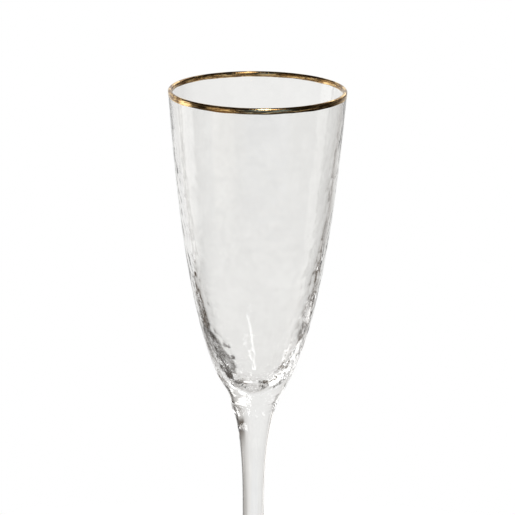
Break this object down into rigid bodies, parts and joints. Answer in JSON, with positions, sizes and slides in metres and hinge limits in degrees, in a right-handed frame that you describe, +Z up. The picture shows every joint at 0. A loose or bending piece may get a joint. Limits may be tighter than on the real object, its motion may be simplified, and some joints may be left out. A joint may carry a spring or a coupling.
{
  "type": "champagne flute",
  "caption": "Tall stemmed drinking glass: a hammered tapering bowl with a gold-banded lip, on a slender drawn stem and a round flat foot.",
  "frame": {"origin": "centre of the circle that the foot rests on", "axes": "+Z runs up the glass from the foot to the lip; the glass is round about Z"},
  "size_m": [0.07, 0.07, 0.245],
  "materials": {
    "hammered_glass": "hand-hammered, glossy, slightly wavy",
    "clear_glass": "drawn and fire-polished, glossy",
    "fired_gold": "bright fired gold, slightly uneven"
  },
  "bodies": {
    "root": {"bowl": "hammered_glass", "gold_rim_band": "fired_gold", "stem": "clear_glass", "foot": "clear_glass"}
  },
  "joints": []
}
